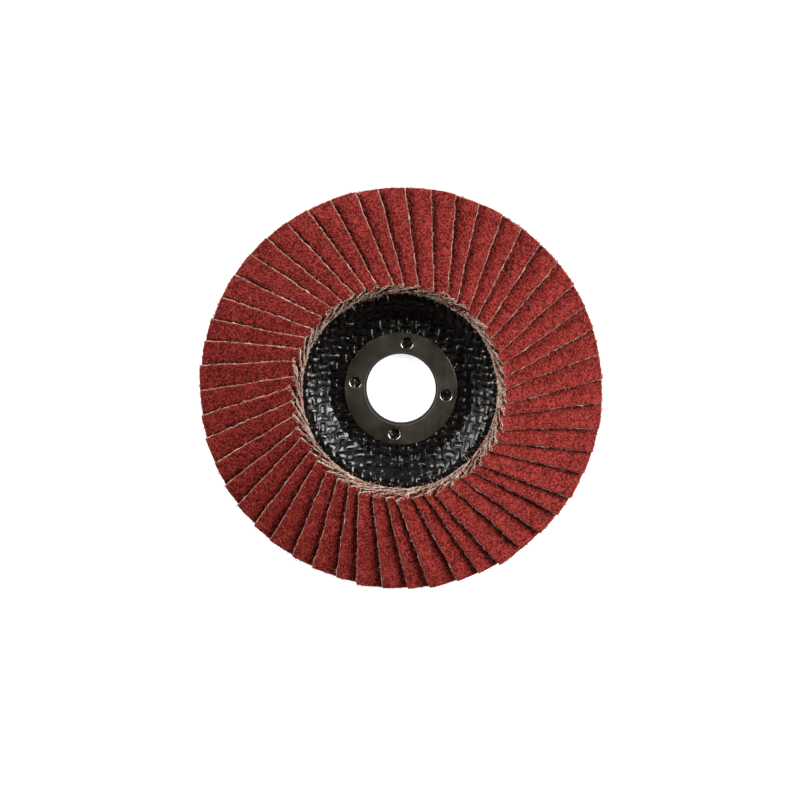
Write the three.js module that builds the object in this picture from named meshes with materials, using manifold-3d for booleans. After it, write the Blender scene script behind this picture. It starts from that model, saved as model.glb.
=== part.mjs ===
// Conical abrasive flap disc for an angle grinder, in millimetres, +Z up.
// The origin is on the disc's axis, on the back face of the hub, where the grinder's flange bears.
// +Z points to the working side, so the disc lies on its hub with the flaps facing up.

import * as THREE from 'three';
import { mergeVertices } from 'three/addons/utils/BufferGeometryUtils.js';
import Module from 'manifold-3d';

const wasm = await Module();
wasm.setup();

const degrees = THREE.MathUtils.degToRad;

// Flaps: strips of coated cloth with a radial centreline, each lying on its clockwise neighbour.
// Their inner ends are square, and their outer ends are trimmed to the disc's own circle.
const FLAP_COUNT = 51;
const FLAP_PITCH = (2 * Math.PI) / FLAP_COUNT;
const DISC_RADIUS = 63.5; // of the circle that the outer ends are trimmed to
const TRIM_ALLOWANCE = 2; // how far a flap reaches past that circle before it is trimmed
const TRIM_SEGMENTS = 2 * FLAP_COUNT;
const FREE_EDGE_OFFSET = 11.2; // from the axis to the line of a free edge, seen in plan
const FREE_EDGE_INNER_RADIUS = 33.6;
const FLAP_THICKNESS = 0.9;
const FLAP_TILT = degrees(18); // about the radial centreline, which lifts the clockwise edge
const ROOT_LIFT = 0.6; // from the backing plate to the bottom of a flap's root

// Backing plate: four plies of glass cloth pressed into one dished and conical plate.
const PLY_COUNT = 4;
const PLY_THICKNESS = 0.7;
const PLATE_RADIUS = 57;
const PLATE_BORE_RADIUS = 12.05;
const HUB_FLAT_RADIUS = 22.3;
const WALL_ANGLE = degrees(45);
const WALL_LENGTH = 5.68;
const CONE_ANGLE = degrees(10); // the rim lies nearer to the grinder than the shoulder does
const FOOT_BEND_RADIUS = 4.5; // at the back surface, between the hub and the wall
const SHOULDER_BEND_RADIUS = 1.5; // at the back surface, between the wall and the cone
const BEND_STEPS = 3;

// Blotter: a plain paper washer on the back of the hub, under the grinder's flange.
const BLOTTER_THICKNESS = 0.25;
const BLOTTER_INNER_RADIUS = 12.6;
const BLOTTER_OUTER_RADIUS = 21.8;

// Bush: one stamped sheet-steel ring whose collar lines the bore of the plate.
const BORE_RADIUS = 11.115; // 22.23 mm bore
const BUSH_RADIUS = 18;
const BUSH_SHEET = 0.6;
const BUSH_LIP_RADIUS = 0.75; // outer radius of the bend from the ring into the collar
const BUSH_EDGE_BREAK = 0.15;
const COLLAR_END = 0.15; // the collar stops this far above the hub's back face
const LIP_STEPS = 3;

// Four burrs pierced through the bush grip the front ply.
const BURR_COUNT = 4;
const BURR_CIRCLE_RADIUS = 14.65;
const FIRST_BURR = degrees(-8);
const BURR_HOLE_RADIUS = 1.7;
const BURR_MOUTH_RADIUS = 2.1;
const BURR_OUTER_RADIUS = 2.2;
const BURR_DEPTH = 0.4; // below the underside of the ring
const BURR_MOUTH_DEPTH = 0.3;
const BURR_SOCKET_RADIUS = 2.5; // hole in the front ply around each burr

// Adhesive bed: the ring of resin that the flap roots stand in.
const BED_INNER_RADIUS = 33.4;
const BED_OUTER_RADIUS = 56.4;
const BED_THICKNESS = 1.4;
const BED_GAP = 0.3; // between the bed and the flaps that stand in it

const PLATE_SEGMENTS = 60;
const BUSH_SEGMENTS = 72;
const BURR_SEGMENTS = 16;
const CUT_MARGIN = 1; // how far a cutter reaches past the face that it cuts

const HUB_BACK = BLOTTER_THICKNESS;
const PLATE_THICKNESS = PLY_COUNT * PLY_THICKNESS;
const HUB_FRONT = HUB_BACK + PLATE_THICKNESS;

const finish = {
  abrasive: { color: 0x8c2c26, roughness: 0.9, metalness: 0 },
  glassCloth: { color: 0x1a1a1b, roughness: 0.35, metalness: 0 },
  innerCloth: { color: 0x6f6a55, roughness: 0.6, metalness: 0 },
  resin: { color: 0x3a2a20, roughness: 0.5, metalness: 0 },
  steel: { color: 0x6a655c, roughness: 0.4, metalness: 1 },
  paper: { color: 0x9c968a, roughness: 0.9, metalness: 0 },
};

const disc = new THREE.Group();

function addPiece(name, geometry, look) {
  const mesh = new THREE.Mesh(geometry, new THREE.MeshStandardMaterial(look));
  mesh.name = name;
  disc.add(mesh);
}

// A closed outline of [radius, height] points, turned about Z. Points run anticlockwise.
function turned(outline, segments) {
  const closed = [...outline, outline[0]];
  const points = closed.map(([radius, height]) => new THREE.Vector2(radius, height));
  return new THREE.LatheGeometry(points, segments).rotateX(Math.PI / 2);
}

function toManifold(geometry) {
  const bare = geometry.clone();
  bare.deleteAttribute('normal');
  bare.deleteAttribute('uv');
  const merged = mergeVertices(bare);
  const vertProperties = new Float32Array(merged.attributes.position.array);
  const triVerts = new Uint32Array(merged.index.array);
  return new wasm.Manifold(new wasm.Mesh({ numProp: 3, vertProperties, triVerts }));
}

function toGeometry(solid) {
  const mesh = solid.getMesh();
  const merged = new THREE.BufferGeometry();
  merged.setAttribute('position', new THREE.BufferAttribute(mesh.vertProperties, 3));
  merged.setIndex(new THREE.BufferAttribute(mesh.triVerts, 1));
  const geometry = merged.toNonIndexed();
  geometry.computeVertexNormals();
  return geometry;
}

function ringOfCopies(geometry, count, radius, firstAngle) {
  return Array.from({ length: count }, (_, i) => {
    const angle = firstAngle + (i * 2 * Math.PI) / count;
    return geometry.clone().translate(radius * Math.cos(angle), radius * Math.sin(angle), 0);
  });
}

// The back surface of the plate as stations: a point and the angle at which the surface rises there.
function plateStations() {
  const stations = [];
  let radius = PLATE_BORE_RADIUS;
  let height = HUB_BACK;
  let angle = 0;
  const mark = () => stations.push({ radius, height, angle });
  const goStraight = (length) => {
    radius += length * Math.cos(angle);
    height += length * Math.sin(angle);
    mark();
  };
  const bend = (bendRadius, endAngle) => {
    const startAngle = angle;
    const side = Math.sign(endAngle - startAngle);
    const centreRadius = radius - side * bendRadius * Math.sin(startAngle);
    const centreHeight = height + side * bendRadius * Math.cos(startAngle);
    for (let step = 1; step <= BEND_STEPS; step += 1) {
      angle = startAngle + ((endAngle - startAngle) * step) / BEND_STEPS;
      radius = centreRadius + side * bendRadius * Math.sin(angle);
      height = centreHeight - side * bendRadius * Math.cos(angle);
      mark();
    }
  };
  mark();
  goStraight(HUB_FLAT_RADIUS - PLATE_BORE_RADIUS);
  bend(FOOT_BEND_RADIUS, WALL_ANGLE);
  goStraight(WALL_LENGTH);
  bend(SHOULDER_BEND_RADIUS, -CONE_ANGLE);
  goStraight((PLATE_RADIUS - radius) / Math.cos(CONE_ANGLE));
  return stations;
}

// The surface of the plate at a depth above its back surface, measured square to it.
function plateSurface(depth) {
  return plateStations().map(({ radius, height, angle }) => [
    radius - depth * Math.sin(angle),
    height + depth * Math.cos(angle),
  ]);
}

// Height of the cone above the hub's back face, at a depth above the plate's back surface.
function coneHeight(radius, depth) {
  const [endRadius, endHeight] = plateSurface(depth).at(-1);
  return endHeight + (endRadius - radius) * Math.tan(CONE_ANGLE);
}

function plyGeometry(index) {
  const back = plateSurface(index * PLY_THICKNESS);
  const front = plateSurface((index + 1) * PLY_THICKNESS);
  return turned([...back, ...front.reverse()], PLATE_SEGMENTS);
}

function addPlies() {
  const socket = new THREE.CylinderGeometry(
    BURR_SOCKET_RADIUS,
    BURR_SOCKET_RADIUS,
    2 * CUT_MARGIN + PLY_THICKNESS,
    BURR_SEGMENTS,
  );
  socket.rotateX(Math.PI / 2).translate(0, 0, HUB_FRONT - PLY_THICKNESS / 2);
  let front = toManifold(plyGeometry(PLY_COUNT - 1));
  for (const cutter of ringOfCopies(socket, BURR_COUNT, BURR_CIRCLE_RADIUS, FIRST_BURR)) {
    front = front.subtract(toManifold(cutter));
  }
  addPiece('back_glass_ply', plyGeometry(0), finish.glassCloth);
  for (let index = 1; index < PLY_COUNT - 1; index += 1) {
    addPiece(`inner_glass_ply_${index}`, plyGeometry(index), finish.innerCloth);
  }
  addPiece('front_glass_ply', toGeometry(front), finish.glassCloth);
}

function bushOutline() {
  const top = HUB_FRONT + BUSH_SHEET;
  const bendRadius = BORE_RADIUS + BUSH_LIP_RADIUS;
  const bendHeight = top - BUSH_LIP_RADIUS;
  const lip = (radius, step) => {
    const angle = (step * Math.PI) / 2 / LIP_STEPS;
    return [bendRadius - radius * Math.sin(angle), bendHeight + radius * Math.cos(angle)];
  };
  const steps = Array.from({ length: LIP_STEPS + 1 }, (_, step) => step);
  return [
    [BORE_RADIUS, COLLAR_END],
    [BORE_RADIUS + BUSH_SHEET, COLLAR_END],
    ...steps.map((step) => lip(BUSH_LIP_RADIUS - BUSH_SHEET, LIP_STEPS - step)),
    [BUSH_RADIUS, HUB_FRONT],
    [BUSH_RADIUS, top - BUSH_EDGE_BREAK],
    [BUSH_RADIUS - BUSH_EDGE_BREAK, top],
    ...steps.map((step) => lip(BUSH_LIP_RADIUS, step)),
  ];
}

function addBush() {
  const top = HUB_FRONT + BUSH_SHEET;
  const burr = new THREE.CylinderGeometry(
    BURR_OUTER_RADIUS,
    BURR_OUTER_RADIUS,
    BURR_DEPTH + BUSH_SHEET / 2,
    BURR_SEGMENTS,
  );
  burr.rotateX(Math.PI / 2);
  burr.translate(0, 0, HUB_FRONT + (BUSH_SHEET / 2 - BURR_DEPTH) / 2);
  const hole = turned(
    [
      [0, HUB_FRONT - BURR_DEPTH - CUT_MARGIN],
      [BURR_HOLE_RADIUS, HUB_FRONT - BURR_DEPTH - CUT_MARGIN],
      [BURR_HOLE_RADIUS, top - BURR_MOUTH_DEPTH],
      [BURR_MOUTH_RADIUS, top],
      [BURR_MOUTH_RADIUS, top + CUT_MARGIN],
      [0, top + CUT_MARGIN],
    ],
    BURR_SEGMENTS,
  );
  const place = (piece) => ringOfCopies(piece, BURR_COUNT, BURR_CIRCLE_RADIUS, FIRST_BURR);
  let bush = toManifold(turned(bushOutline(), BUSH_SEGMENTS));
  for (const piece of place(burr)) {
    bush = bush.add(toManifold(piece));
  }
  for (const piece of place(hole)) {
    bush = bush.subtract(toManifold(piece));
  }
  addPiece('bore_bush', toGeometry(bush), finish.steel);
}

function addBlotter() {
  const outline = [
    [BLOTTER_INNER_RADIUS, 0],
    [BLOTTER_OUTER_RADIUS, 0],
    [BLOTTER_OUTER_RADIUS, BLOTTER_THICKNESS],
    [BLOTTER_INNER_RADIUS, BLOTTER_THICKNESS],
  ];
  addPiece('back_blotter', turned(outline, PLATE_SEGMENTS), finish.paper);
}

// An untrimmed flap, grown by a margin on every side, with its centreline at an angle about the axis.
function flapBlank(angle, margin) {
  const outerReach = DISC_RADIUS + TRIM_ALLOWANCE;
  const innerReach = Math.sqrt(FREE_EDGE_INNER_RADIUS ** 2 - FREE_EDGE_OFFSET ** 2);
  const length = (outerReach - innerReach) / Math.cos(CONE_ANGLE);
  const width = (2 * FREE_EDGE_OFFSET) / Math.cos(FLAP_TILT);
  // The cone's slope carries the lifted free edge outwards by this much.
  const rise = (width * Math.sin(FLAP_TILT) + FLAP_THICKNESS * Math.cos(FLAP_TILT)) / 2;
  const middleReach = (outerReach + innerReach) / 2 - rise * Math.sin(CONE_ANGLE);
  const rootRadius = Math.hypot(middleReach, FREE_EDGE_OFFSET);
  const rootHeight = coneHeight(rootRadius, PLATE_THICKNESS) + ROOT_LIFT;
  const grown = 2 * margin;
  const flap = new THREE.BoxGeometry(length + grown, width + grown, FLAP_THICKNESS + grown);
  flap.rotateX(-FLAP_TILT).rotateY(CONE_ANGLE).translate(middleReach, 0, rootHeight + rise);
  return flap.rotateZ(angle);
}

function addFlaps() {
  const circle = new THREE.CylinderGeometry(DISC_RADIUS, DISC_RADIUS, DISC_RADIUS, TRIM_SEGMENTS);
  const flap = toManifold(flapBlank(0, 0)).intersect(toManifold(circle.rotateX(Math.PI / 2)));
  for (let index = 0; index < FLAP_COUNT; index += 1) {
    const number = String(index + 1).padStart(2, '0');
    const turnedFlap = toGeometry(flap).rotateZ(index * FLAP_PITCH);
    addPiece(`flap_${number}`, turnedFlap, finish.abrasive);
  }
}

function addBed() {
  const bottom = PLATE_THICKNESS;
  const top = PLATE_THICKNESS + BED_THICKNESS;
  const outline = [
    [BED_INNER_RADIUS, coneHeight(BED_INNER_RADIUS, bottom)],
    [BED_OUTER_RADIUS, coneHeight(BED_OUTER_RADIUS, bottom)],
    [BED_OUTER_RADIUS, coneHeight(BED_OUTER_RADIUS, top)],
    [BED_INNER_RADIUS, coneHeight(BED_INNER_RADIUS, top)],
  ];
  let bed = toManifold(turned(outline, PLATE_SEGMENTS));
  for (let index = 0; index < FLAP_COUNT; index += 1) {
    bed = bed.subtract(toManifold(flapBlank(index * FLAP_PITCH, BED_GAP)));
  }
  addPiece('adhesive_bed', toGeometry(bed), finish.resin);
}

addBlotter();
addPlies();
addBush();
addBed();
addFlaps();

export default disc;
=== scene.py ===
"""Conical abrasive flap disc: its looks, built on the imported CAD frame. Metres, +Z to the working side."""

import math

import bmesh
import bpy
import numpy as np
from mathutils import Matrix, Vector


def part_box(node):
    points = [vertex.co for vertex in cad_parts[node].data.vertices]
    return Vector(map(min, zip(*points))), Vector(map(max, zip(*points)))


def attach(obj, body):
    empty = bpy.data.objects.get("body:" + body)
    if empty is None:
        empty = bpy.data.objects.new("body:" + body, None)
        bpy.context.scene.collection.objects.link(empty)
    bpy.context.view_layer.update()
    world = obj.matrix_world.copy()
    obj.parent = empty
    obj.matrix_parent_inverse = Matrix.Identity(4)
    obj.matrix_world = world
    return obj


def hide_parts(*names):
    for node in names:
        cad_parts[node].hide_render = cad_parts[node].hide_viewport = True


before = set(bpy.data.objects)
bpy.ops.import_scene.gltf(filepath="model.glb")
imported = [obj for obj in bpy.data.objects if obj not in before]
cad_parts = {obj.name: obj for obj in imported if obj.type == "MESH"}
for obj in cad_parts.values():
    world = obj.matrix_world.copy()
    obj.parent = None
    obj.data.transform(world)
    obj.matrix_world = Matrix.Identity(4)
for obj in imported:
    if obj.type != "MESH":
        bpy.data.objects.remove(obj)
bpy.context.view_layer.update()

MM = 0.001
SEED = 20
BODY = "root"
TURN = 2 * math.pi

# Flaps, in millimetres within the flap: a from its inner end, b from its free edge, c up from its back.
CLOTH_THICKNESS = 0.42
CLOTH_ROWS = 56
CLOTH_COLUMNS = 22
COAT_STEP = 0.2
COAT_FINE_WIDTH = 9.0
COAT_FINE_COLUMNS = 45
COAT_COARSE_COLUMNS = 9
COAT_SETBACK = 0.055
SEAM_REACH = 0.3
GRAIN_CELL = 0.42
GRAIN_HEIGHT = 0.36
CLUMP_HEIGHT = 0.06
YARN_PITCH = 0.5
SLIDE = 0.45
SKEW = math.radians(0.4)
FREE_PART = 12.0

# Backing plate, the same driving dimensions as the CAD plies, in millimetres.
PLY_THICKNESS = 0.7
PLY_BORE_RADIUS = 12.05
HUB_FLAT_RADIUS = 22.3
WALL_ANGLE = math.radians(45)
WALL_LENGTH = 5.68
CONE_ANGLE = math.radians(10)
FOOT_BEND_RADIUS = 4.5
SHOULDER_BEND_RADIUS = 1.5
BEND_STEPS = 10

# Mesh of the plate: radii between which the weave stands on the front and on the back, and step sizes.
FRONT_WEAVE_SPAN = (12.6, 34.5)
BACK_WEAVE_SPAN = (21.4, 57.5)
NO_SPAN = (0, 0)
FINE_STEP = 0.2
COARSE_STEP = 3.0
FRONT_ROUND = 960
BACK_ROUND = 660
INNER_ROUND = 360

# Glass weave: spacing and width of the yarns that run along Y and along X, in millimetres.
WEAVE_PITCH = (2.85, 2.7)
WEAVE_YARN = (1.75, 1.7)
WEAVE_HEIGHT = 0.5

# Adhesive bed, bush and blotter, in millimetres.
BED_INNER_RADIUS = 32.6
BED_HEIGHT = 1.35
SHOULDER_RADIUS = 31.0
BORE_RADIUS = 11.115
SHEET_THICKNESS = 0.6
LIP_RADIUS = 0.75
EDGE_ROUND = 0.14
HOLE_COUNT = 4
HOLE_CIRCLE = 14.65
HOLE_START = -8
HOLE_RADIUS = 1.7
HOLE_MOUTH = 0.42
BLOTTER_INNER_RADIUS = 12.6

# Surroundings: colour by the upward part of a direction, and by how far it looks to +Y (0 to 1).
WORLD_BY_HEIGHT = (
    (0.0, (0.56, 0.56, 0.56)),
    (0.25, (0.44, 0.44, 0.44)),
    (0.55, (0.1, 0.093, 0.08)),
    (0.85, (0.066, 0.058, 0.045)),
)
WORLD_BY_SIDE = ((0.2, (0.03, 0.03, 0.03)), (0.45, (1.0, 1.0, 1.0)))
BACKDROP = (1.0, 1.0, 1.0, 1.0)
FLOOR_HALF = 2.0
LIGHT_DISTANCE = 1.1

# Camera: its height, how far it leans to +X and +Y for each unit of height, and what it looks at.
CAMERA_HEIGHT = 0.48
CAMERA_LEAN = (0.045, 0.097)
CAMERA_FOCUS = (0.0001, -0.0028, 0.0113)
CAMERA_LENS = 67.5


# ---------------------------------------------------------------- noise


def lattice(ix, iy, seed):
    """Repeatable values from 0 to 1 on an integer lattice."""
    h = (ix.astype(np.int64) * 374761393 + iy.astype(np.int64) * 668265263 + seed * 2147483647) & 0xFFFFFFFF
    h = ((h ^ (h >> 13)) * 1274126177) & 0xFFFFFFFF
    h = ((h ^ (h >> 16)) * 2246822519) & 0xFFFFFFFF
    return ((h ^ (h >> 15)) & 0xFFFFFF) / float(0xFFFFFF)


def smooth_noise(x, y, seed):
    """Smooth noise from -1 to 1 with features one unit wide."""
    x0, y0 = np.floor(x), np.floor(y)
    fx, fy = x - x0, y - y0
    fx, fy = fx * fx * (3 - 2 * fx), fy * fy * (3 - 2 * fy)
    low = lattice(x0, y0, seed) * (1 - fx) + lattice(x0 + 1, y0, seed) * fx
    high = lattice(x0, y0 + 1, seed) * (1 - fx) + lattice(x0 + 1, y0 + 1, seed) * fx
    return 2 * (low * (1 - fy) + high * fy) - 1


def layered_noise(x, y, seed, layers=3):
    """Smooth noise from -1 to 1 with finer, weaker layers on top of it."""
    total = sum(smooth_noise(x * 2**k, y * 2**k, seed + k) / 2**k for k in range(layers))
    return total / (2 - 2 ** (1 - layers))


def grain_field(x, y, cell, seed):
    """Height from 0 to 1 of a bed of faceted grains about one cell wide."""
    gx, gy = x / cell, y / cell
    ix, iy = np.floor(gx), np.floor(gy)
    height = np.zeros_like(gx)
    for dx in (-1, 0, 1):
        for dy in (-1, 0, 1):
            cx, cy = ix + dx, iy + dy
            px = gx - cx - 0.15 - 0.7 * lattice(cx, cy, seed)
            py = gy - cy - 0.15 - 0.7 * lattice(cx, cy, seed + 1)
            top = 0.35 + 0.65 * lattice(cx, cy, seed + 2)
            tilt_x = 0.9 * (lattice(cx, cy, seed + 3) - 0.5)
            tilt_y = 0.9 * (lattice(cx, cy, seed + 4) - 0.5)
            grain = top + tilt_x * px + tilt_y * py - 1.1 * np.maximum(np.abs(px), np.abs(py)) ** 1.5
            height = np.maximum(height, grain)
    return np.clip(height, 0, 1)


# ---------------------------------------------------------------- mesh helpers


class MeshData:
    """Collects vertices and faces of closed shells, in millimetres, for one object."""

    def __init__(self):
        self.points, self.faces, self.slots = [], [], []
        self.uvs, self.reliefs = [], []
        self.count = 0

    def add(self, points, faces, slot=0, uv=None, relief=None):
        points = np.asarray(points, float).reshape(-1, 3)
        self.points.append(points)
        uv = np.zeros((len(points), 2)) if uv is None else np.asarray(uv, float)
        relief = np.zeros(len(points)) if relief is None else np.asarray(relief, float)
        self.uvs.append(uv.reshape(-1, 2))
        self.reliefs.append(relief.ravel())
        for block in faces:
            block = np.asarray(block, np.int64) + self.count
            self.faces.append(block)
            self.slots.append(np.full(len(block), slot))
        self.count += len(points)

    def build(self, name, materials, place=None):
        points = np.concatenate(self.points)
        if place is not None:
            points = place(points)
        mesh = bpy.data.meshes.new(name)
        mesh.vertices.add(len(points))
        mesh.vertices.foreach_set("co", (points * MM).ravel())
        loops = np.concatenate([block.ravel() for block in self.faces])
        totals = np.concatenate([np.full(len(block), block.shape[1]) for block in self.faces])
        mesh.loops.add(len(loops))
        mesh.loops.foreach_set("vertex_index", loops)
        mesh.polygons.add(len(totals))
        mesh.polygons.foreach_set("loop_start", np.concatenate([[0], np.cumsum(totals)[:-1]]))
        mesh.polygons.foreach_set("material_index", np.concatenate(self.slots))
        mesh.update(calc_edges=True)
        mesh.polygons.foreach_set("use_smooth", np.ones(len(totals), bool))
        layer = mesh.uv_layers.new(name="UVMap")
        layer.data.foreach_set("uv", (np.concatenate(self.uvs)[loops] * MM).ravel())
        relief = mesh.attributes.new("relief", "FLOAT", "POINT")
        relief.data.foreach_set("value", np.concatenate(self.reliefs))
        mesh.validate()
        for material in materials:
            mesh.materials.append(material)
        piece = bpy.data.objects.new(name, mesh)
        bpy.context.scene.collection.objects.link(piece)
        return piece


def grid_faces(rows, columns):
    """Quads of a grid stored row by row, facing up where rows run along X and columns along Y."""
    i, j = np.meshgrid(np.arange(rows - 1), np.arange(columns - 1), indexing="ij")
    first = (i * columns + j).ravel()
    return np.stack([first, first + columns, first + columns + 1, first + 1], 1)


def rim_indices(rows, columns):
    """The border of such a grid, once round, clockwise from above."""
    inner = [np.arange(columns)]
    side = [np.arange(1, rows) * columns + columns - 1]
    outer = [(rows - 1) * columns + np.arange(columns - 2, -1, -1)]
    back = [np.arange(rows - 2, 0, -1) * columns]
    return np.concatenate(inner + side + outer + back)


def band_faces(upper, lower):
    """Quads between two loops of vertex indices; upper runs clockwise from above."""
    return np.stack([upper, np.roll(upper, -1), np.roll(lower, -1), lower], 1)


def tube(points, radii, sides=6):
    """A closed tube along points, with round ends: its vertices and faces."""
    points = np.asarray(points, float)
    ahead = np.gradient(points, axis=0)
    ahead /= np.maximum(np.linalg.norm(ahead, axis=1, keepdims=True), 1e-9)
    across = np.cross(ahead, [0, 0, 1.0])
    across /= np.maximum(np.linalg.norm(across, axis=1, keepdims=True), 1e-9)
    up = np.cross(across, ahead)
    angle = np.arange(sides) * TURN / sides
    ring = np.cos(angle)[None, :, None] * across[:, None] + np.sin(angle)[None, :, None] * up[:, None]
    vertices = points[:, None] + ring * np.asarray(radii, float)[:, None, None]
    count = len(points)
    i, j = np.meshgrid(np.arange(count - 1), np.arange(sides), indexing="ij")
    first, beside = i * sides + j, i * sides + (j + 1) % sides
    quads = np.stack([first, beside, beside + sides, first + sides], -1).reshape(-1, 4)
    caps = [np.arange(sides)[::-1][None], (count - 1) * sides + np.arange(sides)[None]]
    return vertices.reshape(-1, 3), [quads] + caps


def turned(profile, steps):
    """Vertices and faces of a closed outline of (radius, height) points turned about Z."""
    profile = np.asarray(profile, float)
    angle = np.arange(steps) * TURN / steps
    points = np.stack(
        [
            profile[:, None, 0] * np.cos(angle),
            profile[:, None, 0] * np.sin(angle),
            np.broadcast_to(profile[:, None, 1], (len(profile), steps)),
        ],
        -1,
    )
    return points, [loop_faces(len(profile), steps)]


# ---------------------------------------------------------------- materials


class Shader:
    """A node material: short calls that add nodes and link them."""

    def __init__(self, name):
        self.material = bpy.data.materials.new(name)
        self.material.use_nodes = True
        self.tree = self.material.node_tree
        self.tree.nodes.clear()
        self.surface = self.node("ShaderNodeBsdfPrincipled")
        output = self.node("ShaderNodeOutputMaterial")
        self.link(self.surface.outputs[0], output.inputs["Surface"])

    def node(self, kind, **values):
        made = self.tree.nodes.new(kind)
        for key, value in values.items():
            setattr(made, key, value)
        return made

    def link(self, source, target):
        self.tree.links.new(source, target)

    def feed(self, target, value):
        if hasattr(value, "is_output"):
            self.link(value, target)
        else:
            target.default_value = value

    def set(self, **values):
        for key, value in values.items():
            self.feed(self.surface.inputs[key.replace("_", " ")], value)

    def place(self, source="Object", stretch=(1, 1, 1)):
        coordinates = self.node("ShaderNodeTexCoord")
        mapping = self.node("ShaderNodeMapping")
        mapping.inputs["Scale"].default_value = stretch
        self.link(coordinates.outputs[source], mapping.inputs["Vector"])
        return mapping.outputs[0]

    def noise(self, scale, detail=3.0, place=None, rough=0.5):
        made = self.node("ShaderNodeTexNoise")
        self.link(place or self.place(), made.inputs["Vector"])
        made.inputs["Scale"].default_value = scale
        made.inputs["Detail"].default_value = detail
        made.inputs["Roughness"].default_value = rough
        return made.outputs["Fac"]

    def cells(self, scale):
        made = self.node("ShaderNodeTexVoronoi")
        self.link(self.place(), made.inputs["Vector"])
        made.inputs["Scale"].default_value = scale
        return made.outputs["Distance"]

    def attribute(self, name):
        return self.node("ShaderNodeAttribute", attribute_name=name).outputs["Fac"]

    def math(self, operation, a, b=0.0, clamp=False):
        made = self.node("ShaderNodeMath", operation=operation, use_clamp=clamp)
        self.feed(made.inputs[0], a)
        self.feed(made.inputs[1], b)
        return made.outputs[0]

    def ramp(self, value, *stops):
        """Colours at positions: (position, (r, g, b)) or (position, grey)."""
        made = self.node("ShaderNodeValToRGB")
        elements = made.color_ramp.elements
        while len(elements) < len(stops):
            elements.new(0.5)
        for element, (position, colour) in zip(elements, stops):
            element.position = position
            colour = (colour,) * 3 if isinstance(colour, (int, float)) else colour
            element.color = (*colour, 1)
        self.feed(made.inputs[0], value)
        return made.outputs[0]

    def mix(self, factor, a, b, blend="MIX"):
        made = self.node("ShaderNodeMix", data_type="RGBA", blend_type=blend)
        self.feed(made.inputs["Factor"], factor)
        for socket, value in ((made.inputs["A"], a), (made.inputs["B"], b)):
            self.feed(socket, (*value, 1) if isinstance(value, tuple) and len(value) == 3 else value)
        return made.outputs["Result"]

    def bump(self, height, distance, strength=1.0, after=None):
        made = self.node("ShaderNodeBump")
        made.inputs["Strength"].default_value = strength
        made.inputs["Distance"].default_value = distance
        self.feed(made.inputs["Height"], height)
        if after is not None:
            self.link(after, made.inputs["Normal"])
        return made.outputs[0]


def abrasive_material():
    s = Shader("maroon_abrasive_grain")
    relief = s.attribute("relief")
    fine = s.cells(3200)
    patch = s.noise(260, 4)
    speck = s.noise(2400, 2)
    level = s.math("ADD", s.math("MULTIPLY", relief, 0.8), s.math("MULTIPLY", speck, 0.36))
    colour = s.ramp(
        level,
        (0.24, (0.03, 0.004, 0.004)),
        (0.46, (0.155, 0.0125, 0.010)),
        (0.66, (0.31, 0.029, 0.023)),
        (0.92, (0.45, 0.074, 0.06)),
    )
    tone = s.ramp(patch, (0.3, 0.9), (0.7, 1.07))
    s.set(Base_Color=s.mix(1.0, colour, tone, "MULTIPLY"))
    s.set(Roughness=s.ramp(fine, (0.0, 0.55), (0.6, 0.85)), Specular_IOR_Level=0.14)
    grain = s.bump(fine, 0.00012, 0.6)
    s.set(Normal=s.bump(s.noise(5200, 3), 0.00006, 0.5, grain))
    return s.material


def cloth_material():
    s = Shader("pale_backing_cloth")
    stain = s.noise(900, 4)
    patch = s.noise(210, 3)
    paleness = s.attribute("relief")
    level = s.math("ADD", s.math("MULTIPLY", stain, 0.8), s.math("MULTIPLY", paleness, 0.4))
    colour = s.ramp(
        level,
        (0.36, (0.15, 0.045, 0.03)),
        (0.52, (0.42, 0.19, 0.14)),
        (0.68, (0.62, 0.43, 0.34)),
        (0.88, (0.82, 0.70, 0.58)),
    )
    tone = s.ramp(patch, (0.3, 0.66), (0.7, 1.08))
    s.set(Base_Color=s.mix(1.0, colour, tone, "MULTIPLY"), Roughness=0.92, Specular_IOR_Level=0.2)
    place = s.place("UV")
    across = s.node("ShaderNodeTexWave", bands_direction="X")
    along = s.node("ShaderNodeTexWave", bands_direction="Y")
    for wave in (across, along):
        s.link(place, wave.inputs["Vector"])
        wave.inputs["Scale"].default_value = 320
    weave = s.math("MAXIMUM", across.outputs["Fac"], along.outputs["Fac"])
    s.set(Normal=s.bump(s.noise(6000, 3), 0.00005, 0.5, s.bump(weave, 0.00012, 0.6)))
    return s.material


def glass_cloth_material():
    s = Shader("black_resin_glass_cloth")
    relief = s.attribute("relief")
    smear = s.noise(330, 4)
    colour = s.ramp(
        relief,
        (0.1, (0.0005, 0.0004, 0.0004)),
        (0.7, (0.003, 0.0025, 0.002)),
        (1.0, (0.012, 0.011, 0.01)),
    )
    s.set(Base_Color=colour, Specular_IOR_Level=0.5, Coat_Weight=0.15, Coat_Roughness=0.1)
    gloss = s.ramp(smear, (0.35, 0.14), (0.7, 0.34))
    s.set(Roughness=s.mix(s.ramp(relief, (0.08, 0.0), (0.24, 1.0)), (0.6, 0.6, 0.6), gloss))
    strand = s.bump(s.noise(1500, 3), 0.00012, 0.32)
    s.set(Normal=s.bump(s.noise(4200, 2), 0.00004, 0.4, strand))
    return s.material


def inner_cloth_material():
    s = Shader("cut_glass_cloth_edge")
    fibre = s.noise(2500, 3)
    colour = s.ramp(
        fibre,
        (0.3, (0.02, 0.016, 0.012)),
        (0.55, (0.07, 0.055, 0.04)),
        (0.75, (0.2, 0.18, 0.15)),
    )
    s.set(Base_Color=colour, Roughness=0.7)
    s.set(Normal=s.bump(fibre, 0.00012, 0.7))
    return s.material


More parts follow.
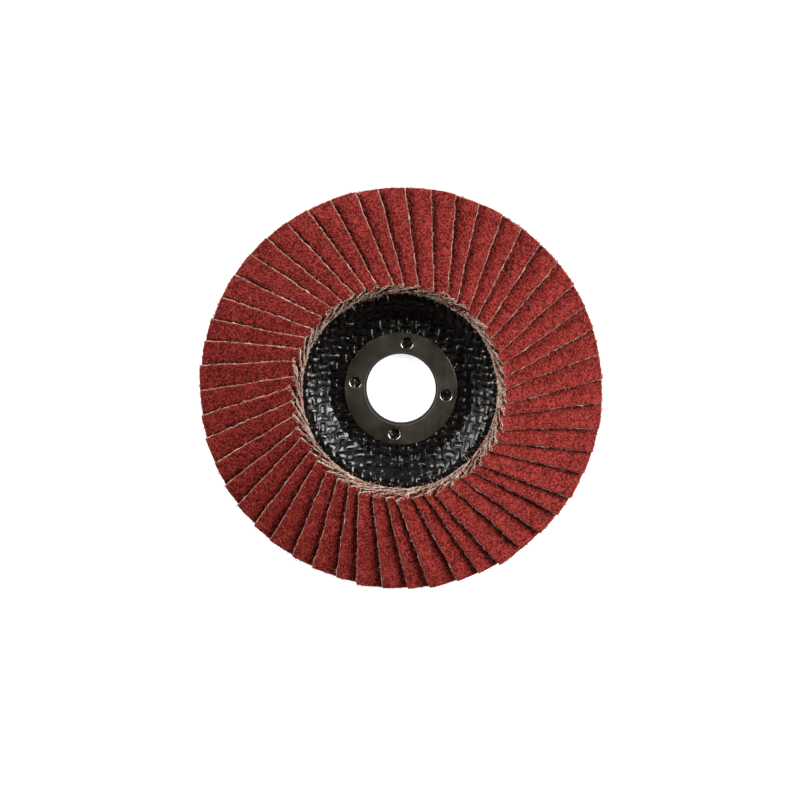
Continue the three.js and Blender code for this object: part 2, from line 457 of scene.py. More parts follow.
def resin_material():
    s = Shader("brown_black_adhesive")
    flow = s.noise(420, 4)
    colour = s.ramp(
        flow,
        (0.3, (0.012, 0.007, 0.005)),
        (0.6, (0.045, 0.022, 0.014)),
        (0.8, (0.09, 0.05, 0.032)),
    )
    s.set(Base_Color=colour, Roughness=s.ramp(flow, (0.3, 0.25), (0.7, 0.5)), Specular_IOR_Level=0.5)
    s.set(Normal=s.bump(s.noise(900, 4), 0.0002, 0.6))
    return s.material


def steel_material():
    s = Shader("dull_rolled_steel")
    cloud = s.noise(150, 5)
    scratch = s.noise(1500, 3, s.place("Object", (1, 0.06, 1)))
    # the relief attribute paints highlights: lighter metal on the lip, the rim and the hole mouths
    edge = s.attribute("relief")
    colour = s.ramp(cloud, (0.3, (0.165, 0.141, 0.104)), (0.7, (0.275, 0.24, 0.185)))
    bright = s.mix(edge, colour, (0.62, 0.60, 0.56))
    spot = s.ramp(s.noise(95, 6, rough=0.65), (0.70, 0.0), (0.76, 1.0))
    rubbed = s.ramp(s.noise(210, 4, s.place("Object", (1, 0.35, 1))), (0.52, 0.0), (0.72, 0.5))
    bright = s.mix(rubbed, bright, (0.42, 0.385, 0.32))
    # painted shade: dark, rough, non-metallic colour on the collar wall inside the bore
    bore_shade = s.ramp(s.attribute("bore_shade"), (0.0, 0.0), (1.0, 1.0))
    s.set(Base_Color=s.mix(bore_shade, s.mix(spot, bright, (0.12, 0.055, 0.03)), (0.012, 0.01, 0.009)))
    s.set(Metallic=s.ramp(bore_shade, (0.0, 1.0), (1.0, 0.0)))
    rough = s.math("ADD", s.ramp(cloud, (0.3, 0.24), (0.7, 0.36)), s.math("MULTIPLY", scratch, 0.12))
    dull = s.math("SUBTRACT", rough, s.math("MULTIPLY", edge, 0.14))
    s.set(Roughness=s.math("ADD", dull, s.math("MULTIPLY", bore_shade, 0.6), clamp=True))
    s.set(Normal=s.bump(scratch, 0.00002, 0.35))
    return s.material


def paper_material():
    s = Shader("plain_kraft_paper")
    fibre = s.noise(1400, 4, s.place("Object", (1, 0.35, 1)))
    patch = s.noise(120, 3)
    colour = s.ramp(fibre, (0.3, (0.20, 0.155, 0.105)), (0.7, (0.36, 0.29, 0.205)))
    s.set(Base_Color=s.mix(1.0, colour, s.ramp(patch, (0.3, 0.85), (0.7, 1.05)), "MULTIPLY"), Roughness=0.9)
    s.set(Normal=s.bump(fibre, 0.00005, 0.5))
    return s.material


def floor_material():
    s = Shader("pale_light_table")
    s.set(Base_Color=s.ramp(s.noise(3, 2), (0.3, 0.8), (0.7, 0.82)), Roughness=0.85, Specular_IOR_Level=0.1)
    s.set(Emission_Color=(1.0, 1.0, 1.0, 1.0), Emission_Strength=0.8)
    return s.material


# ---------------------------------------------------------------- flaps


def flap_nodes():
    return sorted(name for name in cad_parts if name.startswith("flap_"))


class FlapFrame:
    """Where a CAD flap lies: its corner, axes and size, in millimetres, read from its own faces."""

    def __init__(self, node, rim):
        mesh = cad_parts[node].data
        count = len(mesh.polygons)
        normals, areas = np.empty(count * 3), np.empty(count)
        mesh.polygons.foreach_get("normal", normals)
        mesh.polygons.foreach_get("area", areas)
        corners = np.empty(len(mesh.vertices) * 3)
        mesh.vertices.foreach_get("co", corners)
        corners, normals = corners.reshape(-1, 3) / MM, normals.reshape(-1, 3)
        up = self.widest(normals, areas, normals[:, 2] > 0.5)
        across = self.widest(normals, areas, np.abs(normals @ up) < 0.01)
        along = np.cross(across, up)
        if along @ corners.mean(0) < 0:
            along, across = -along, -across
        self.axes = np.stack([along, across, up])
        local = corners @ self.axes.T
        self.origin = local.min(0) @ self.axes
        self.length, self.width, self.thickness = np.ptp(local, axis=0)
        self.rim = rim

    @staticmethod
    def widest(normals, areas, wanted):
        """The direction that the largest area of the wanted faces looks in."""
        rounded = np.round(normals[wanted], 3)
        _, first, group = np.unique(rounded, axis=0, return_index=True, return_inverse=True)
        return normals[wanted][first[np.argmax(np.bincount(group.ravel(), areas[wanted]))]]

    def reach(self, b):
        """How far along the flap its trimmed outer end lies, at b from the free edge."""
        middle = self.origin + self.axes[2] * self.thickness / 2
        start = middle + np.asarray(b, float)[..., None] * self.axes[1]
        step = self.axes[0][:2]
        size = step @ step
        half = start[..., :2] @ step
        return (np.sqrt(half**2 - size * ((start[..., :2] ** 2).sum(-1) - self.rim**2)) - half) / size

    def place(self, local):
        """Points (a, b, c) within the flap to points in the disc's frame."""
        return self.origin + local @ self.axes


class FlapShape:
    """One flap's own small departures from flat and square."""

    def __init__(self, flap, rng):
        self.flap = flap
        self.seed = int(rng.integers(1, 100000))
        self.slide = SLIDE * np.clip(rng.normal(), -1.4, 1.4)
        self.turn = SKEW * np.clip(rng.normal(), -1.6, 1.6)
        self.radial = 0.16 * rng.uniform(-1, 1)
        self.curl = rng.uniform(-0.32, 0.12)
        self.corner = rng.uniform(-0.35, 0.3)
        self.wave_phase = rng.uniform(0, 100)

    def bend(self, local):
        """Slides and turns the flap within its own plane, and bends its free part a little."""
        a, b, c = local[..., 0], local[..., 1], local[..., 2]
        free = np.clip(1 - b / FREE_PART, 0, 1) ** 2
        wave = smooth_noise(a / 7.0 + self.wave_phase, a * 0, self.seed)
        outer = np.clip((a - self.flap.length + 6) / 6, 0, 1) ** 2
        lift = self.curl * free * np.clip(a / self.flap.length + 0.2, 0, 1)
        lift = lift + 0.13 * wave * free + self.corner * outer * free
        middle_a, middle_b = self.flap.length / 2, self.flap.width / 2
        x, y = a - middle_a, b - middle_b
        cos, sin = math.cos(self.turn), math.sin(self.turn)
        moved = np.empty(local.shape)
        moved[..., 0] = x * cos - y * sin + middle_a + self.radial
        moved[..., 1] = x * sin + y * cos + middle_b + self.slide
        moved[..., 1] += 0.17 * smooth_noise(a / 6.0, a * 0 + self.wave_phase, self.seed + 1) * free
        near_edge = np.clip(1 - b / 1.5, 0, 1) ** 2
        near_end = np.clip(1 - a / 1.5, 0, 1) ** 2
        moved[..., 1] += 0.27 * layered_noise(a / 1.6, a * 0 + self.wave_phase, self.seed + 5, 3) * near_edge
        moved[..., 0] += 0.3 * layered_noise(b / 2.1, b * 0 + self.wave_phase, self.seed + 6, 3) * near_end
        moved[..., 2] = c + lift
        return moved


def flap_local(a, b, c):
    return np.stack(np.broadcast_arrays(a, b, c), -1).astype(float)


def add_cloth(data, shape):
    """The woven backing: a thin slab whose rim bulges and wanders a little."""
    flap = shape.flap
    b = np.concatenate([[0, 0.35], np.linspace(1.2, flap.width - 0.4, CLOTH_COLUMNS), [flap.width]])
    share, grid_b = np.meshgrid(np.linspace(0, 1, CLOTH_ROWS), b, indexing="ij")
    grid_a = share * flap.reach(grid_b)
    rows, columns = grid_a.shape
    rim = rim_indices(rows, columns)
    sag = 0.02 * smooth_noise(grid_a / 1.5, grid_b / 1.5, shape.seed + 2)
    top = flap_local(grid_a, grid_b, CLOTH_THICKNESS + sag).reshape(-1, 3)
    bottom = flap_local(grid_a, grid_b, sag).reshape(-1, 3)
    middle = (top[rim] + bottom[rim]) / 2
    row, column = rim // columns, rim % columns
    outward_a = (row == rows - 1) * 1.0 - (row == 0)
    outward_b = (column == columns - 1) * 1.0 - (column == 0)
    ragged = 0.01 + 0.09 * smooth_noise(middle[:, 0] * 2.3, middle[:, 1] * 2.3, shape.seed + 3)
    middle[:, 0] += outward_a * ragged
    middle[:, 1] += outward_b * ragged
    total = rows * columns
    points = np.concatenate([top, middle, bottom])
    belt = total + np.arange(len(rim))
    lower = total + len(rim)
    faces = [
        grid_faces(rows, columns),
        band_faces(rim, belt),
        band_faces(belt, lower + rim),
        grid_faces(rows, columns)[:, ::-1] + lower,
    ]
    data.add(shape.bend(points), faces, 0, points[:, :2], np.full(len(points), 0.35))


def coat_columns(width):
    """Places across a flap: close together where it shows, and further apart where it is covered."""
    fine = np.linspace(0, COAT_FINE_WIDTH, COAT_FINE_COLUMNS)
    coarse = np.linspace(COAT_FINE_WIDTH, width, COAT_COARSE_COLUMNS + 1)[1:]
    return np.concatenate([fine, coarse])


def seam_painted_shade(shape, follower, a, b):
    """Painted shade in the corner under the next flap's free edge, with a ragged border: 0 for none, 1 for
    full.
    """
    edge = follower.bend(flap_local(np.linspace(0, follower.flap.length, 120), 0.0, 0.0))
    local = (follower.flap.place(edge) - shape.flap.origin) @ shape.flap.axes.T
    from_edge = np.interp(a, local[:, 0], local[:, 1]) - shape.slide - b
    ragged = layered_noise(a / 0.3, b / 0.8, shape.seed + 13, 2)
    runs = smooth_noise(a / 4.0, a * 0 + 3, shape.seed + 14)
    reach = SEAM_REACH * (0.25 + 2.4 * ragged + 0.8 * runs)
    return np.clip((reach - from_edge) / 0.14, 0, 1)


def add_coat(data, shape, follower):
    """The grain in its resin: a rough slab, set back from the cut edges of the cloth."""
    flap = shape.flap
    share, grid_b = np.meshgrid(
        np.linspace(0, 1, int(flap.length / COAT_STEP)), coat_columns(flap.width), indexing="ij"
    )
    end = flap.reach(grid_b)
    grid_a = share * end
    rows, columns = grid_a.shape
    chip = COAT_SETBACK * (1 + 3.0 * layered_noise(grid_a / 0.9, grid_b / 0.9, shape.seed + 4, 3))
    chip = np.maximum(chip, 0.0)
    in_a = grid_a + chip * (np.clip(1 - grid_a / 1.2, 0, 1) - np.clip(1 - (end - grid_a) / 1.2, 0, 1))
    in_b = grid_b + chip * (np.clip(1 - grid_b / 1.2, 0, 1) - np.clip(1 - (flap.width - grid_b) / 1.2, 0, 1))
    grain = grain_field(in_a + shape.seed, in_b, GRAIN_CELL, shape.seed + 7)
    clump = layered_noise(in_a / 1.25, in_b / 1.25, shape.seed + 11, 2)
    to_edge = np.minimum.reduce([grid_a, end - grid_a, grid_b, flap.width - grid_b])
    shoulder = 0.16 * np.clip(1 - to_edge / 0.35, 0, 1) ** 2
    height = flap.thickness - GRAIN_HEIGHT - 0.06 + GRAIN_HEIGHT * grain + CLUMP_HEIGHT * clump - shoulder
    top = flap_local(in_a, in_b, height).reshape(-1, 3)
    rim = rim_indices(rows, columns)
    foot = top[rim].copy()
    foot[:, 2] = CLOTH_THICKNESS - 0.04
    total = rows * columns
    points = np.concatenate([top, foot])
    lower = total + np.arange(len(rim))
    relief = np.clip(0.88 * grain + 0.12 * (0.5 + clump), 0, 1)
    # painted shade: the grain's colour darkens beside the next flap's free edge, standing in for its shadow
    relief *= 1 - 0.7 * seam_painted_shade(shape, follower, in_a, in_b)
    relief = np.concatenate([relief.ravel(), np.full(len(rim), 0.08)])
    faces = [grid_faces(rows, columns), band_faces(rim, lower), lower[::-1][None]]
    data.add(shape.bend(points), faces, 1, points[:, :2], relief)


def edge_line(flap, edge, share):
    """Points at shares of the way along a cut edge of the cloth, and the direction out of it."""
    share = np.asarray(share, float)
    if edge == "free":
        return flap_local(share * flap.reach(0.0), 0.0, CLOTH_THICKNESS / 2), np.array([0, -1.0, 0])
    b = share * flap.width
    if edge == "inner":
        return flap_local(0.0, b, CLOTH_THICKNESS / 2), np.array([-1.0, 0, 0])
    return flap_local(flap.reach(b), b, CLOTH_THICKNESS / 2), np.array([1.0, 0, 0])


def add_edge_yarns(data, shape):
    """The last yarn of the cloth along each cut edge, beaded where others cross it and worn in places."""
    for number, (edge, thick) in enumerate((("free", 0.098), ("inner", 0.17), ("outer", 0.1))):
        size = shape.flap.length if edge == "free" else shape.flap.width
        count = int(size / 0.2)
        line, outward = edge_line(shape.flap, edge, np.linspace(0, 1, count))
        along = np.linspace(0, size, count)
        loose = layered_noise(along / 2.6, along * 0 + number, shape.seed + 20, 3)
        line += outward * (0.16 * loose - (0.05 if edge == "free" else 0.0))[:, None]
        line[:, 2] += 0.07 * smooth_noise(along / 1.7, along * 0, shape.seed + 21 + number)
        line[:, 2] -= 0.08 if edge == "free" else 0.0
        beads = 0.5 + 0.5 * np.cos(TURN * along / YARN_PITCH)
        worn = layered_noise(along / 1.1, along * 0, shape.seed + 24 + number, 3)
        radii = thick * np.clip(0.75 + 0.25 * beads + 1.1 * worn, 0.15, 1.6)
        radii[[0, -1]] *= 0.3
        points, faces = tube(shape.bend(line), radii, 6)
        pale = np.clip((0.4 if edge == "free" else 0.6) + 1.6 * worn, 0, 1)
        data.add(points, faces, 0, points[:, :2], np.repeat(pale, 6))


def add_thread(data, shape, start, heading, length, thick, sway, rng, paleness):
    """One loose fibre or yarn end, tapered, that leaves start along heading and sways."""
    heading = heading / np.linalg.norm(heading)
    share = np.linspace(0, 1, 6)[:, None]
    side = np.cross(heading, rng.normal(size=3))
    other = np.cross(heading, side)
    path = start + heading * length * share + side * sway * share**2
    path = path + other * 0.35 * sway * np.sin(share * rng.uniform(3, 7))
    taper = np.interp(share.ravel(), [0, 0.6, 1], [1, 0.85, 0.3])
    points, faces = tube(shape.bend(path), thick * taper, 4)
    data.add(points, faces, 0, points[:, :2], np.full(len(points), paleness))


def add_fray(data, shape, rng):
    """Short broken fibres standing out of the cut edges, most of them at the corners and the inner end."""
    torn = rng.choice([0.55, 1.0, 1.7], p=[0.5, 0.35, 0.15])
    for edge, count in (("free", 56), ("outer", 44), ("inner", int(78 * torn))):
        for _ in range(count):
            inner = edge == "inner"
            if inner:
                spot = rng.uniform(-0.01, 0.62)
            elif edge == "outer":
                spot = rng.uniform(0, 1)
            else:
                spot = rng.uniform(0, 1) ** rng.choice([0.5, 1.0, 2.0])
            start, outward = edge_line(shape.flap, edge, spot)
            sideways = np.cross(outward, [0, 0, 1.0]) * rng.normal(0, 2.0 if inner else 0.9)
            lean = rng.uniform(-0.3, 0.75) if inner else rng.uniform(0.1, 1.0)
            heading = outward * lean + sideways + np.array([0, 0, rng.normal(0.1, 0.4)])
            start = start + np.array([0, 0, rng.uniform(-0.15, 0.6 if inner else 0.2)])
            start = start - outward * (rng.uniform(-0.15, 0.7) if inner else 0.0)
            long = rng.uniform(0.25, 0.95) * (0.75 + 0.25 * torn) if inner else rng.uniform(0.2, 0.75)
            long *= 1.5 if edge == "outer" else 1.0
            long *= 1.9 if rng.random() < 0.08 else 1.0
            thick = rng.uniform(0.05, 0.13) if inner else rng.uniform(0.03, 0.07)
            thick *= 1.35 if edge == "outer" else 1.0
            pale = rng.uniform(0.25, 1.15) if inner else rng.uniform(-0.1, 0.9)
            sway = (0.7 if inner else 0.4) * long
            add_thread(data, shape, start, heading, long, thick, sway, rng, pale)


def add_loose_yarns(data, shape, rng):
    """Yarns pulled part of the way out of the inner end, which lie nearly along it."""
    for number in range(5):
        first = rng.uniform(-0.03, 0.5)
        share = np.linspace(first, first + rng.uniform(0.09, 0.3), 20)
        line, outward = edge_line(shape.flap, "inner", share)
        along = share * shape.flap.width
        away = rng.uniform(-0.6, 0.25)
        away = away + 0.6 * layered_noise(along / 1.7, along * 0 + rng.uniform(0, 50), 5, 3)
        line += outward * away[:, None]
        wave = smooth_noise(along / 1.5, along * 0, shape.seed + 40 + number)
        line[:, 2] += rng.uniform(0.0, 0.75) + 0.22 * wave
        taper = np.interp(np.linspace(0, 1, 20), [0, 0.1, 0.9, 1], [0.3, 1, 1, 0.3])
        points, faces = tube(shape.bend(line), rng.uniform(0.09, 0.16) * taper, 6)
        data.add(points, faces, 0, points[:, :2], np.full(len(points), rng.uniform(0.25, 1.1)))


def build_flaps(cloth, coat):
    rim = max(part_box(node)[1][0] for node in flap_nodes()) / MM
    rngs = [np.random.default_rng(SEED * 1000 + index) for index in range(len(flap_nodes()))]
    shapes = [FlapShape(FlapFrame(node, rim), rng) for node, rng in zip(flap_nodes(), rngs)]
    followers = shapes[1:] + shapes[:1]
    for node, rng, shape, follower in zip(flap_nodes(), rngs, shapes, followers):
        data = MeshData()
        add_cloth(data, shape)
        add_coat(data, shape, follower)
        add_edge_yarns(data, shape)
        add_fray(data, shape, rng)
        add_loose_yarns(data, shape, rng)
        piece = data.build(node.replace("flap_", "abrasive_flap_"), [cloth, coat], shape.flap.place)
        finish_piece(piece, node)


# ---------------------------------------------------------------- backing plate


def plate_stations(start, end, fine_from, fine_to):
    """(radius, height, angle) along the back of the plate, in fine steps between two radii."""
    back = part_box("back_glass_ply")[0][2] / MM
    stations = [(start, back, 0.0)]

    def go_straight(length):
        """Straight on, with the step that suits the radius."""
        gone = 0.0
        radius, height, angle = stations[-1]
        while gone < length - 1e-6:
            here = stations[-1][0]
            step = FINE_STEP if fine_from <= here < fine_to else COARSE_STEP
            if here < fine_from < here + step * math.cos(angle):
                step = (fine_from - here) / math.cos(angle)
            gone = min(gone + max(step, 0.02), length)
            stations.append((radius + gone * math.cos(angle), height + gone * math.sin(angle), angle))

    def bend(bend_radius, end_angle):
        radius, height, first = stations[-1]
        side = math.copysign(1, end_angle - first)
        centre_r = radius - side * bend_radius * math.sin(first)
        centre_h = height + side * bend_radius * math.cos(first)
        steps = BEND_STEPS if fine_from <= radius < fine_to else BEND_STEPS // 2
        for k in range(1, steps + 1):
            angle = first + (end_angle - first) * k / steps
            radius = centre_r + side * bend_radius * math.sin(angle)
            stations.append((radius, centre_h - side * bend_radius * math.cos(angle), angle))

    go_straight(HUB_FLAT_RADIUS - start)
    bend(FOOT_BEND_RADIUS, WALL_ANGLE)
    go_straight(WALL_LENGTH)
    bend(SHOULDER_BEND_RADIUS, -CONE_ANGLE)
    go_straight((end - 0.3 - stations[-1][0]) / math.cos(CONE_ANGLE))
    go_straight((end - stations[-1][0]) / math.cos(CONE_ANGLE))
    return np.array(stations)


def weave_height(x, y, seed):
    """Height from 0 to 1 of an open plain weave of flat yarns along X and Y, half drowned in resin."""
    x = x + 0.45 * layered_noise(x / 9, y / 9, seed, 2)
    y = y + 0.45 * layered_noise(x / 9, y / 9, seed + 5, 2)
    gx, gy = x / WEAVE_PITCH[0], y / WEAVE_PITCH[1]
    level = 0.12 + 0.12 * layered_noise(x / 0.7, y / 0.7, seed + 3, 2)
    for number, (across, ahead) in enumerate(((gx, gy), (gy, gx))):
        lane = np.floor(across)
        crossing = np.floor(ahead)
        share = WEAVE_YARN[number] / WEAVE_PITCH[number]
        body = 0.5 * share * (0.82 + 0.34 * lattice(lane, crossing, seed + 31 + number))
        drift = 0.2 * (lattice(lane, np.floor(ahead / 3), seed + 41 + number) - 0.5)
        drift = drift + 0.05 * smooth_noise(ahead * 2.2, lane, seed + 45 + number)
        off = (across - lane - 0.5 - drift) / body
        flat_top = np.clip(1 - np.abs(off) ** 3, 0, 1) ** 0.5
        strands = 0.02 * np.cos(TURN * 1.5 * off) * (np.abs(off) < 1)
        over = np.clip(2.0 * np.cos(math.pi * (ahead + lane + number - 0.5)), -1, 1)
        crown = 0.82 + 0.34 * (lattice(lane, crossing, seed + 51 + number) - 0.5)
        level = np.maximum(level, flat_top * crown * (0.6 + 0.4 * over) + strands)
    return np.clip(level, 0, 1)


def add_woven_layer(data, span, depths, weaves, fine, round_steps, seed):
    """One ply: a turned shell with the weave standing on the faces that can be seen."""
    start, end = span
    angle = np.arange(round_steps) * TURN / round_steps
    ragged = 0.1 * layered_noise(angle * 60, angle * 0 + seed, seed, 3)

    def face(depth, weave, sign, face_seed):
        stations = plate_stations(start, end, *(fine if weave else NO_SPAN))
        radius = stations[:, 0] - depth * np.sin(stations[:, 2])
        height = stations[:, 1] + depth * np.cos(stations[:, 2])
        x, y = radius[:, None] * np.cos(angle), radius[:, None] * np.sin(angle)
        level = weave_height(x, y, face_seed) if weave else np.ones_like(x)
        pool = np.clip(1.3 * layered_noise(x / 2.1, y / 2.1, face_seed + 9, 3), 0, 1)
        edge = np.clip(np.minimum(radius - start, end - radius) / 0.5, 0, 1)[:, None]
        lift = weave * (level - 1.0 + 0.5 * pool * (1 - level)) * edge * sign
        grow = 1 - np.sin(stations[:, 2])[:, None] * lift / radius[:, None]
        z = height[:, None] + np.cos(stations[:, 2])[:, None] * lift
        points = np.stack([x * grow, y * grow, z], -1)
        points[-1, :, :2] *= 1 + ragged[:, None] / end
        return points, level

    (lower, upper), (back_weave, front_weave) = depths, weaves
    top, top_level = face(upper, front_weave, 1.0, seed)
    bottom, bottom_level = face(lower, back_weave, -1.0, seed + 100)
    points = np.concatenate([bottom, top[::-1]])
    level = np.concatenate([bottom_level, top_level[::-1]])
    data.add(points, [loop_faces(len(points), round_steps)], 0, points[..., :2], level)


def loop_faces(rows, steps):
    """Quads of a closed outline of rows turned through steps, facing out where it runs anticlockwise."""
    i, j = np.meshgrid(np.arange(rows), np.arange(steps), indexing="ij")
    here, beside = i * steps + j, i * steps + (j + 1) % steps
    ahead, over = (i + 1) % rows * steps + j, (i + 1) % rows * steps + (j + 1) % steps
    return np.stack([here, beside, over, ahead], -1).reshape(-1, 4)


def build_plies(glass, inner):
    span = (PLY_BORE_RADIUS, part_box("front_glass_ply")[1][0] / MM)
    front, back = (0.0, WEAVE_HEIGHT), (WEAVE_HEIGHT, 0.0)
    plain = ((0.0, 0.0), NO_SPAN, INNER_ROUND, inner, "inner_glass_cloth")
    plies = (
        ("back_glass_ply", back, BACK_WEAVE_SPAN, BACK_ROUND, glass, "glass_cloth"),
        ("inner_glass_ply_1", *plain),
        ("inner_glass_ply_2", *plain),
        ("front_glass_ply", front, FRONT_WEAVE_SPAN, FRONT_ROUND, glass, "glass_cloth"),
    )
    for number, (node, weaves, fine, steps, material, slot) in enumerate(plies):
        depths = (number * PLY_THICKNESS, (number + 1) * PLY_THICKNESS)
        data = MeshData()
        add_woven_layer(data, span, depths, weaves, fine, steps, 300 + number)
        piece = data.build(node.replace("ply", "weave"), [material])
        finish_piece(piece, node)


# ---------------------------------------------------------------- bed, bush and blotter


def build_bed(resin):
    """The ring of adhesive: a lumpy bead at its inner and outer ends."""
    inner, outer = BED_INNER_RADIUS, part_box("adhesive_bed")[1][0] / MM
    steps, across = 720, 46
    radius = np.linspace(inner, outer, across)
    angle = np.arange(steps) * TURN / steps
    x, y = radius[:, None] * np.cos(angle), radius[:, None] * np.sin(angle)
    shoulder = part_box("front_glass_ply")[1][2] / MM - 0.12
    base = shoulder - (radius - SHOULDER_RADIUS) * math.tan(CONE_ANGLE)
    crown = np.sin(math.pi * np.clip((radius - inner) / (outer - inner), 0, 1)) ** 0.35
    thick = BED_HEIGHT * crown[:, None] * (0.85 + 0.35 * layered_noise(x / 2.2, y / 2.2, 71, 3))
    top = np.stack([x, y, base[:, None] + np.maximum(thick, 0.02)], -1)
    bottom = np.stack([x, y, np.broadcast_to(base[:, None] - 0.1, x.shape)], -1)
    points = np.concatenate([bottom, top[::-1]])
    data = MeshData()
    data.add(points, [loop_faces(2 * across, steps)])
    piece = data.build("adhesive_ring", [resin])
    finish_piece(piece, "adhesive_bed")


def arc(centre, radius, first, last, steps):
    """(radius, height) points on an arc, with its angles in degrees."""
    angle = np.radians(np.linspace(first, last, steps))
    return [(centre[0] + radius * math.cos(t), centre[1] + radius * math.sin(t)) for t in angle]


def plain_object(name, points, faces, material):
    data = MeshData()
    data.add(points, faces)
    return data.build(name, [material])


def hole_centres():
    turns = [math.radians(HOLE_START + 360 / HOLE_COUNT * k) for k in range(HOLE_COUNT)]
    return [(HOLE_CIRCLE * math.cos(turn), HOLE_CIRCLE * math.sin(turn)) for turn in turns]


def build_bush(steel):
    """Stamped ring with a rolled lip and collar, and four pierced holes with drawn-in mouths."""
    low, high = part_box("bore_bush")
    top, end, ring = high[2] / MM, low[2] / MM, high[0] / MM
    sheet, lip, mouth = SHEET_THICKNESS, LIP_RADIUS, HOLE_MOUTH
    wall = BORE_RADIUS + sheet / 2
    centre = (BORE_RADIUS + lip, top - lip)
    outline = arc((wall, end + 0.2), 0.2, 180, 360, 6)
    outline = [(r + (0.1 if r > wall else -0.1), z) for r, z in outline]
    outline += arc(centre, lip - sheet, 180, 90, 5)
    outline += arc((ring - EDGE_ROUND, top - sheet + EDGE_ROUND), EDGE_ROUND, -90, 0, 4)
    outline += arc((ring - EDGE_ROUND, top - EDGE_ROUND), EDGE_ROUND, 0, 90, 5)
    outline += arc(centre, lip, 90, 180, 12)
    bush = plain_object("steel_bush", *turned(outline, 288), steel)
    cutter = [(0.0, top - 2.5), (HOLE_RADIUS, top - 2.5)]
    cutter += arc((HOLE_RADIUS + mouth, top - mouth), mouth, 180, 92, 9)
    cutter += [(HOLE_RADIUS + mouth, top + 1.0), (0.0, top + 1.0)]
    foot, burr_radius = top - sheet - 0.4, HOLE_RADIUS + 0.5
    burr = [(0.0, foot), (burr_radius, foot), (burr_radius, top - 0.3), (0.0, top - 0.3)]
    for kind, profile in (("UNION", burr), ("DIFFERENCE", cutter)):
        for x, y in hole_centres():
            points, faces = turned([(max(r, 1e-3), z) for r, z in profile], 48)
            tool = plain_object("tool", points + np.array([x, y, 0]), faces, steel)
            fill_poles(tool)
            apply_boolean(bush, tool, kind)
    shade_by_angle(bush, 35)
    paint_steel_highlight_and_shade(bush, BORE_RADIUS + lip, ring)
    finish_piece(bush, "bore_bush")


def fill_poles(piece):
    """Merges the points that lie on a turned tool's own axis."""
    edit = bmesh.new()
    edit.from_mesh(piece.data)
    bmesh.ops.remove_doubles(edit, verts=edit.verts, dist=0.000003)
    bmesh.ops.recalc_face_normals(edit, faces=edit.faces)
    edit.to_mesh(piece.data)
    edit.free()


def apply_boolean(piece, tool, kind):
    """Joins the tool to the piece or cuts it out, and deletes the tool."""
    modifier = piece.modifiers.new("cut", "BOOLEAN")
    modifier.operation, modifier.solver, modifier.object = kind, "EXACT", tool
    bpy.context.view_layer.update()
    result = bpy.data.meshes.new_from_object(piece.evaluated_get(bpy.context.evaluated_depsgraph_get()))
    piece.modifiers.clear()
    piece.data = result
    bpy.data.objects.remove(tool)


def shade_by_angle(piece, degrees):
    piece.data.polygons.foreach_set("use_smooth", [True] * len(piece.data.polygons))
    piece.data.set_sharp_from_angle(angle=math.radians(degrees))


def paint_steel_highlight_and_shade(piece, lip, ring):
    """Painted highlights on the rolled lip, the rim and the mouths of the holes, and painted shade in the
    bore.
    """
    mesh = piece.data
    points = np.empty(len(mesh.vertices) * 3)
    mesh.vertices.foreach_get("co", points)
    points = points.reshape(-1, 3) / MM
    radius = np.hypot(points[:, 0], points[:, 1])
    bright = np.clip((lip + 0.1 - radius) / 0.3, 0, 1) + np.clip((radius - ring + 0.12) / 0.1, 0, 1)
    for x, y in hole_centres():
        away = np.hypot(points[:, 0] - x, points[:, 1] - y)
        bright += np.clip((HOLE_RADIUS + 0.4 - away) / 0.2, 0, 1)
    # painted shade on the collar wall inside the bore
    wall = np.clip((lip - 0.12 - radius) / 0.15, 0, 1)
    values = {"relief": np.clip(bright, 0, 1) * (1 - wall), "bore_shade": wall}
    for name, value in values.items():
        layer = mesh.attributes.get(name) or mesh.attributes.new(name, "FLOAT", "POINT")
        layer.data.foreach_set("value", value)


def build_blotter(paper):
    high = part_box("back_blotter")[1]
    outer, thick = high[0] / MM, high[2] / MM
    radius = np.linspace(BLOTTER_INNER_RADIUS, outer, 24)
    steps = 360
    angle = np.arange(steps) * TURN / steps
    rough = 0.05 * layered_noise(angle * 40, angle * 0, 91, 3)
    x, y = radius[:, None] * np.cos(angle), radius[:, None] * np.sin(angle)
    ripple = 0.02 * layered_noise(x / 3, y / 3, 92, 3)
    bottom = np.stack([x, y, 0.02 + np.abs(ripple)], -1)
    top = np.stack([x, y, np.full_like(x, thick)], -1)
    for surface in (bottom, top):
        surface[-1, :, :2] *= (1 + rough / outer)[:, None]
    points = np.concatenate([bottom, top[::-1]])
    data = MeshData()
    data.add(points, [loop_faces(len(points), steps)])
    piece = data.build("paper_blotter", [paper])
    finish_piece(piece, "back_blotter")


def finish_piece(piece, node):
    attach(piece, BODY)
    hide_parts(node)


# ---------------------------------------------------------------- studio


def build_floor(material):
    corners = np.array([[-1, -1, 0], [1, -1, 0], [1, 1, 0], [-1, 1, 0]]) * FLOOR_HALF / MM
    plain_object("studio_floor", corners, [np.array([[0, 1, 2, 3]])], material)


def area_light(name, place, aim, size, power):
    light = bpy.data.lights.new(name, "AREA")
    light.shape, light.size, light.energy = "DISK", size, power
    lamp = bpy.data.objects.new(name, light)
    lamp.location = place
    lamp.rotation_mode = "QUATERNION"
    lamp.rotation_quaternion = (Vector(aim) - Vector(place)).to_track_quat("-Z", "Y")
    bpy.context.scene.collection.objects.link(lamp)


def from_sky(azimuth, elevation):
    """A place for a light, at a bearing from +X and a height angle, both in degrees, about the disc."""
    turn, rise = math.radians(azimuth), math.radians(elevation)
    flat = LIGHT_DISTANCE * math.cos(rise)
    return (flat * math.cos(turn), flat * math.sin(turn), LIGHT_DISTANCE * math.sin(rise))


def build_lights():
    """Two softboxes low behind the disc, to its right and to its left."""
    aim = (0, 0, 0.01)
    area_light("right_softbox", from_sky(19, 31), aim, 0.7, 15.6)
    area_light("left_softbox", from_sky(152, 23), aim, 0.9, 14.6)
    build_world()


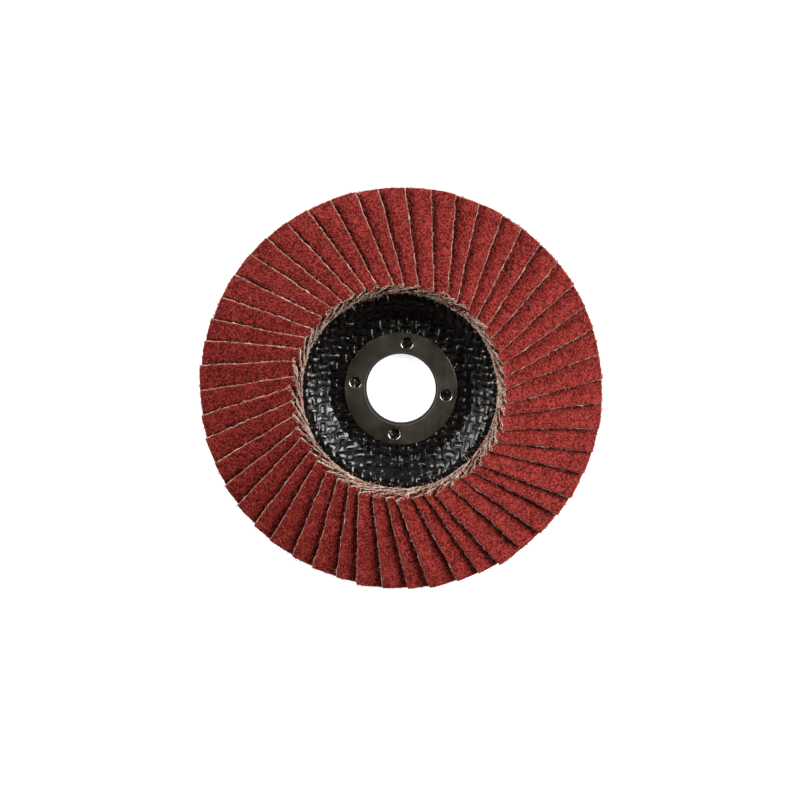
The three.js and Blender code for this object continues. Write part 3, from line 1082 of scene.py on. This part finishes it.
def build_world():
    """A white backdrop to the eye; to the disc, a dark ceiling over a horizon that fades towards -Y."""
    world = bpy.data.worlds.new("studio_world")
    world.use_nodes = True
    tree = world.node_tree
    place = tree.nodes.new("ShaderNodeTexCoord")
    axes = tree.nodes.new("ShaderNodeSeparateXYZ")
    tree.links.new(place.outputs["Generated"], axes.inputs[0])

    def ramp(source, stops):
        made = tree.nodes.new("ShaderNodeValToRGB")
        elements = made.color_ramp.elements
        while len(elements) < len(stops):
            elements.new(0.5)
        for element, (position, colour) in zip(elements, stops):
            element.position, element.color = position, (*colour, 1)
        tree.links.new(source, made.inputs[0])
        return made.outputs[0]

    height = ramp(axes.outputs["Z"], WORLD_BY_HEIGHT)
    shift = tree.nodes.new("ShaderNodeMath")
    shift.operation = "MULTIPLY_ADD"
    shift.inputs[1].default_value, shift.inputs[2].default_value = 0.5, 0.5
    tree.links.new(axes.outputs["Y"], shift.inputs[0])
    side = ramp(shift.outputs[0], WORLD_BY_SIDE)
    product = tree.nodes.new("ShaderNodeMix")
    product.data_type, product.blend_type = "RGBA", "MULTIPLY"
    product.inputs["Factor"].default_value = 1.0
    tree.links.new(height, product.inputs["A"])
    tree.links.new(side, product.inputs["B"])
    seen = tree.nodes.new("ShaderNodeMix")
    seen.data_type = "RGBA"
    path = tree.nodes.new("ShaderNodeLightPath")
    tree.links.new(path.outputs["Is Camera Ray"], seen.inputs["Factor"])
    tree.links.new(product.outputs["Result"], seen.inputs["A"])
    seen.inputs["B"].default_value = BACKDROP
    tree.links.new(seen.outputs["Result"], tree.nodes["Background"].inputs["Color"])
    tree.nodes["Background"].inputs["Strength"].default_value = 1.0
    bpy.context.scene.world = world


def build_camera():
    focus = Vector(CAMERA_FOCUS)
    camera = bpy.data.cameras.new("camera")
    camera.sensor_width = 36.0
    camera.lens = CAMERA_LENS
    camera.clip_start, camera.clip_end = 0.01, 20.0
    seen = bpy.data.objects.new("camera", camera)
    lean_x, lean_y = CAMERA_LEAN
    seen.location = (CAMERA_HEIGHT * lean_x, CAMERA_HEIGHT * lean_y, CAMERA_HEIGHT)
    seen.rotation_mode = "QUATERNION"
    back = (seen.location - focus).normalized()
    right = Vector((0, 1, 0)).cross(back).normalized()
    seen.rotation_quaternion = Matrix((right, back.cross(right), back)).transposed().to_quaternion()
    bpy.context.scene.collection.objects.link(seen)
    bpy.context.scene.camera = seen
    bpy.context.scene.view_settings.view_transform = "Standard"


build_camera()
build_lights()
build_floor(floor_material())
build_flaps(cloth_material(), abrasive_material())
build_plies(glass_cloth_material(), inner_cloth_material())
build_bed(resin_material())
build_bush(steel_material())
build_blotter(paper_material())
